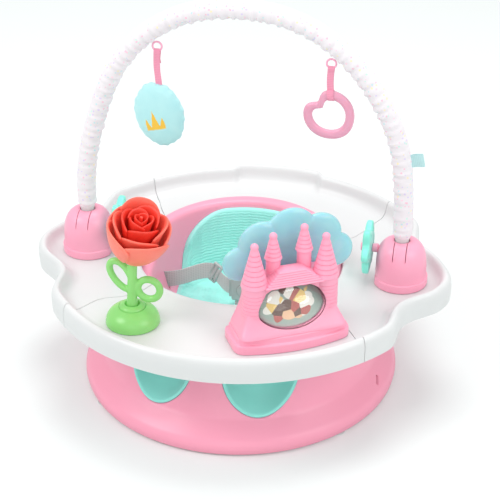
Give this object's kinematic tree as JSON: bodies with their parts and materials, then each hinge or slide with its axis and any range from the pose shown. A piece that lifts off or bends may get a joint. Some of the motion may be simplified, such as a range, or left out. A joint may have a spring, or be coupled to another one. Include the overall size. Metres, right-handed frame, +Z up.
{
  "type": "baby activity seat",
  "caption": "Round pink baby floor seat with a four-piece white toy tray, an arched toy bar, a rose toy, a castle toy with a roller and two side spinners",
  "frame": {"origin": "on the floor, under the middle of the object's footprint box", "axes": "+X to the right seen from the front, +Y to the back, +Z up"},
  "size_m": [0.582, 0.5534, 0.545],
  "materials": {
    "shell": "satin moulded pink",
    "tray": "satin white",
    "mounts_and_castle": "satin pale pink",
    "seat_pad": "ribbed mint foam",
    "leg_pads": "smooth mint foam",
    "spinners": "mint",
    "rose_green": "glossy green",
    "rose_coral": "satin coral",
    "cloud": "translucent blue",
    "roller": "clear",
    "bar_sleeve": "white with small pastel dots",
    "pillow": "plush aqua",
    "ribbons": "woven",
    "webbing": "woven grey",
    "buckle": "grey",
    "feet": "soft grey",
    "card": "printed card with plain dots"
  },
  "bodies": {
    "seat": {"seat_shell": "shell", "foot_1": "feet", "foot_2": "feet", "foot_3": "feet", "foot_4": "feet", "seat_pad": "seat_pad", "leg_pad_left": "leg_pads", "leg_pad_right": "leg_pads", "waist_strap_left": "webbing", "waist_strap_right": "webbing", "strap_slider_left": "buckle", "strap_slider_right": "buckle", "buckle_tongue_left": "buckle", "buckle_tongue_right": "buckle", "front_clip_left": "tray", "front_clip_right": "tray", "rear_clip_left": "tray", "rear_clip_right": "tray", "bar_mount_left": "mounts_and_castle", "bar_mount_right": "mounts_and_castle", "spinner_axle_left": "mounts_and_castle", "spinner_axle_right": "mounts_and_castle", "crotch_strap": "webbing", "buckle_housing": "buckle", "side_tray_left": "tray", "side_tray_right": "tray", "rear_tray": "tray"},
    "front_tray": {"front_tray": "tray", "rose_base": "rose_green", "castle_plinth": "mounts_and_castle", "castle_body": "mounts_and_castle", "castle_cloud": "cloud"},
    "rose_ball": {"rose_ball": "rose_green"},
    "rose_stem": {"rose_stem": "rose_green", "rose_petals_outer": "rose_coral", "rose_petals_inner": "rose_coral", "rose_bud": "rose_coral"},
    "castle_roller": {"castle_roller": "roller", "roller_card": "card"},
    "spinner_left": {"spinner_left": "spinners"},
    "spinner_right": {"spinner_right": "spinners"},
    "toy_bar": {"bar_core": "tray", "bar_sleeve": "bar_sleeve", "bar_end_left": "tray", "bar_end_right": "tray", "bar_tag": "ribbons", "pillow_ring": "mounts_and_castle", "heart_ring_hanger": "mounts_and_castle"},
    "pillow_toy": {"pillow_strap": "ribbons", "pillow": "pillow"},
    "heart_toy": {"heart_strap": "ribbons", "heart_ring": "mounts_and_castle"},
    "buckle_button": {"buckle_button": "buckle"}
  },
  "joints": [
    {"name": "front_tray_lift", "type": "slide", "parent": "seat", "child": "front_tray", "axis": [0, 0, 1], "range_m": [0, 0.05]},
    {"name": "rose_tilt_x", "type": "hinge", "parent": "front_tray", "child": "rose_ball", "pos_m": [-0.1071, -0.1809, 0.1723], "axis": [1, 0, 0], "range_deg": [-10, 10], "stiffness_Nm_per_rad": 0.4},
    {"name": "rose_tilt_y", "type": "hinge", "parent": "rose_ball", "child": "rose_stem", "pos_m": [-0.1071, -0.1809, 0.1723], "axis": [0, 1, 0], "range_deg": [-10, 10], "stiffness_Nm_per_rad": 0.4},
    {"name": "castle_roller_spin", "type": "hinge", "parent": "front_tray", "child": "castle_roller", "pos_m": [0.0984, -0.1758, 0.2093], "axis": [0.8678, 0.497, 0], "continuous": true},
    {"name": "spinner_left_spin", "type": "hinge", "parent": "seat", "child": "spinner_left", "pos_m": [-0.1747, -0.005, 0.2058], "axis": [1, 0, 0], "continuous": true},
    {"name": "spinner_right_spin", "type": "hinge", "parent": "seat", "child": "spinner_right", "pos_m": [0.1747, -0.005, 0.2058], "axis": [1, 0, 0], "continuous": true},
    {"name": "toy_bar_lift", "type": "slide", "parent": "seat", "child": "toy_bar", "axis": [0, 0, 1], "range_m": [0, 0.06]},
    {"name": "pillow_swing", "type": "hinge", "parent": "toy_bar", "child": "pillow_toy", "pos_m": [-0.1123, -0.005, 0.4659], "axis": [1, 0, 0], "range_deg": [-40, 40]},
    {"name": "heart_swing", "type": "hinge", "parent": "toy_bar", "child": "heart_toy", "pos_m": [0.1178, -0.005, 0.4612], "axis": [1, 0, 0], "range_deg": [-40, 40]},
    {"name": "buckle_press", "type": "slide", "parent": "seat", "child": "buckle_button", "axis": [0, 1, 0], "range_m": [0, 0.002], "stiffness_N_per_m": 900}
  ]
}
